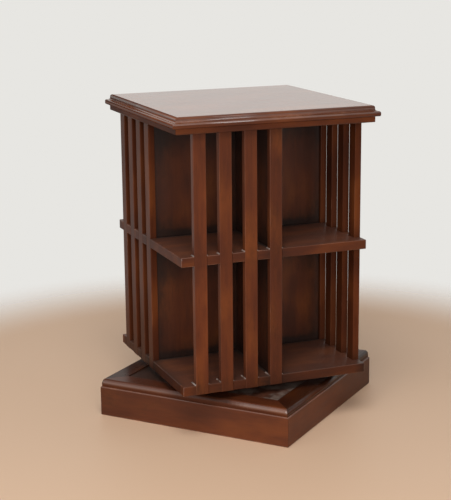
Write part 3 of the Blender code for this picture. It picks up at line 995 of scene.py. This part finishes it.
def edges_round(shape, half, height):
    """The four edges of a square at one height."""
    found = []
    for edge in shape.edges:
        first, second = (vert.co for vert in edge.verts)
        at_half = all(abs(distance_out(end) - half) < WELD for end in (first, second))
        at_height = all(abs(end.z - height) < WELD for end in (first, second))
        if at_half and at_height and (second - first).length > half:
            found.append(edge)
    return found


def faces_aside(way):
    """True for the left and right sides of the top, False for its front and back."""
    return abs(way.x) > abs(way.y)


arris = top.faces.layers.float["arris"]
# Wear and painted highlights on the lip, cove and bead, set strip by strip by how each faces
for strip in ease(top, edges_round(top, lip_half, top_high.z), LIP_ROUND, ROUND_STEPS):
    aside = faces_aside(strip.normal)
    strip[arris] = LIP_ROUND_WEAR_AND_HIGHLIGHT[aside] * (1 - strip.normal.z if aside else 1)
for strip in ease(top, edges_round(top, lip_half, bead_top), COVE_RADIUS, ROUND_STEPS):
    aside = faces_aside(strip.normal)
    rise = (strip.calc_center_bounds().z - bead_top) / COVE_RADIUS
    strip[arris] = rise * COVE_HEAD_WEAR_AND_HIGHLIGHT[aside] + (1 - rise) ** 3 * COVE_FOOT_WEAR_AND_HIGHLIGHT
for strip in ease(top, edges_round(top, bead_half, bead_top), BEAD_ROUND, ROUND_STEPS):
    aside = faces_aside(strip.normal)
    strip[arris] = BEAD_ROUND_WEAR_AND_HIGHLIGHT[aside] * (strip.normal.z ** 3 if aside else 1)
under = edges_round(top, bead_half, top_low.z)
ease(top, under, BEAD_UNDER_ROUND, ROUND_STEPS, BEAD_UNDER_WEAR)

# Painted shade along the lip, cove and bead
painted_shade = top.verts.layers.float["painted_shade"]
for vert in top.verts:
    aside = faces_aside(vert.co)
    rise = (vert.co.z - bead_top) / COVE_RADIUS
    if abs(distance_out(vert.co) - bead_half) < WELD:
        vert[painted_shade] = BEAD_PAINTED_SHADE
    elif abs(distance_out(vert.co) - lip_half) < WELD:
        vert[painted_shade] = LIP_PAINTED_SHADE[aside]
    elif 0 < rise < 1:
        vert[painted_shade] = rise * COVE_PAINTED_SHADE[aside]

top.normal_update()
for face in top.faces:
    middle = face.calc_center_bounds()
    if all(abs(abs(vert.co.y) - lip_half) < WELD for vert in face.verts):
        face[arris] = LIP_WEAR_AND_HIGHLIGHT
    if abs(distance_out(middle) - bead_half) < WELD:
        face[arris] = BEAD_FACE_WEAR_AND_HIGHLIGHT[faces_aside(face.normal)]
    at_ledge = all(abs(vert.co.z - bead_top) < WELD for vert in face.verts)
    if at_ledge and face.normal.z > LOOKS_UP:
        face[arris] = LEDGE_WEAR_AND_HIGHLIGHT[faces_aside(middle)]
    if abs(face.normal.z) < SAME_WAY:
        face.material_index = 2 if faces_aside(face.normal) else 1
fit_piece("top_board", top, "case", "mahogany", polished_wood, edge_wood_along, edge_wood_across)


# Floor: a plain pale studio floor that fades into the pale room a step away from the bookcase. Seen
# from below it is clear, so that the underside can be looked at.
FLOOR_WARM = (0.810, 0.556, 0.376)
FLOOR_RADIUS = 3.0
FLOOR_CORNERS = 96
FLOOR_SCALE = 3.0
FADE_RANGE = (0.80, 1.30)

ground = Finish(bpy.data.materials.new("pale_floor"))
place = ground.place()
uneven = ground.noise(place, FLOOR_SCALE)
laid = ground.node(
    "ShaderNodeBsdfPrincipled",
    {},
    {"Base Color": FLOOR_WARM, "Roughness": 0.55 + 0.1 * (uneven - 0.5)},
)
away = ground.node("ShaderNodeVectorMath", {"operation": "LENGTH"}, {0: place}, "Value")
below = ground.node("ShaderNodeNewGeometry", {}, {}, "Backfacing")
hidden = ground.spread(away, *FADE_RANGE).at_least(below)
clear = ground.node("ShaderNodeBsdfTransparent", {}, {})
shader = ground.node("ShaderNodeMixShader", {}, {0: hidden, 1: laid, 2: clear})

floor_shape = bmesh.new()
bmesh.ops.create_circle(floor_shape, cap_ends=True, segments=FLOOR_CORNERS, radius=FLOOR_RADIUS)
floor_mesh = bpy.data.meshes.new("floor")
floor_shape.to_mesh(floor_mesh)
floor_shape.free()
floor_mesh.materials.append(ground.surface(shader))
floor = bpy.data.objects.new("floor", floor_mesh)
bpy.context.scene.collection.objects.link(floor)


# Light: one soft box in front at about the camera's height, one high in front, a weak one above at
# the left, and an even pale room around them that also shows behind the bookcase.
ROOM_LIGHT = 0.29
ROOM_TINT = (1.0, 0.98, 0.96)
ROOM_SEEN = (0.80, 0.79, 0.76)
BOX_SIZE = 1.8
BOX_DISTANCE = 3.4
BOX_AIM = Vector((0, 0, 0.4))


def soft_box(name, azimuth, elevation, power):
    """A square soft box that faces the bookcase and stays out of the picture."""
    lamp = bpy.data.lights.new(name, "AREA")
    lamp.shape = "SQUARE"
    lamp.size = BOX_SIZE
    lamp.energy = power
    box = bpy.data.objects.new(name, lamp)
    around, over = radians(azimuth), radians(elevation)
    way = Vector((sin(around) * cos(over), -cos(around) * cos(over), sin(over)))
    box.location = BOX_AIM + BOX_DISTANCE * way
    box.rotation_euler = (-way).to_track_quat("-Z", "Y").to_euler()
    box.visible_camera = False
    bpy.context.scene.collection.objects.link(box)


soft_box("front_box", azimuth=-20, elevation=10, power=38)
soft_box("high_box", azimuth=-28, elevation=55, power=55)
soft_box("left_box", azimuth=-75, elevation=32, power=7)

studio = Finish(bpy.data.worlds.new("studio"))
shown = (
    studio.node("ShaderNodeLightPath", {}, {}, "Is Camera Ray")
    + studio.node("ShaderNodeLightPath", {}, {}, "Is Glossy Ray")
    + studio.node("ShaderNodeLightPath", {}, {}, "Is Transmission Ray")
)
room = studio.node("ShaderNodeBackground", {}, {"Color": ROOM_TINT, "Strength": ROOM_LIGHT})
seen = studio.node("ShaderNodeBackground", {}, {"Color": ROOM_SEEN, "Strength": 1.0})
shader = studio.node("ShaderNodeMixShader", {}, {0: shown, 1: room, 2: seen})
bpy.context.scene.world = studio.surface(shader, "ShaderNodeOutputWorld")


# Camera: a long lens a little above the top's height, to the left of the case's front. It was fitted
# to the corners of the case, the top and the base.
AZIMUTH = radians(-21.54)
ELEVATION = radians(13.256)
ROLL = radians(-0.564)
DISTANCE = 3.13255
AIM_HEIGHT = 0.36578
AIM_ASIDE = -0.02973
FOCAL_PIXELS = 1341.07
IMAGE_HEIGHT = 500
SENSOR = 36.0

back = Vector((sin(AZIMUTH) * cos(ELEVATION), -cos(AZIMUTH) * cos(ELEVATION), sin(ELEVATION)))
level = Vector((cos(AZIMUTH), sin(AZIMUTH), 0))
upward = back.cross(level)
right = cos(ROLL) * level + sin(ROLL) * upward
top_way = cos(ROLL) * upward - sin(ROLL) * level
aim = Vector((0, 0, AIM_HEIGHT)) + AIM_ASIDE * right
lens = bpy.data.cameras.new("camera")
lens.sensor_width = SENSOR
lens.lens = FOCAL_PIXELS * SENSOR / IMAGE_HEIGHT
camera = bpy.data.objects.new("camera", lens)
turned = Matrix((right, top_way, back)).transposed().to_4x4()
camera.matrix_world = Matrix.Translation(aim + DISTANCE * back) @ turned
bpy.context.scene.collection.objects.link(camera)
bpy.context.scene.camera = camera
bpy.context.scene.view_settings.view_transform = "Standard"
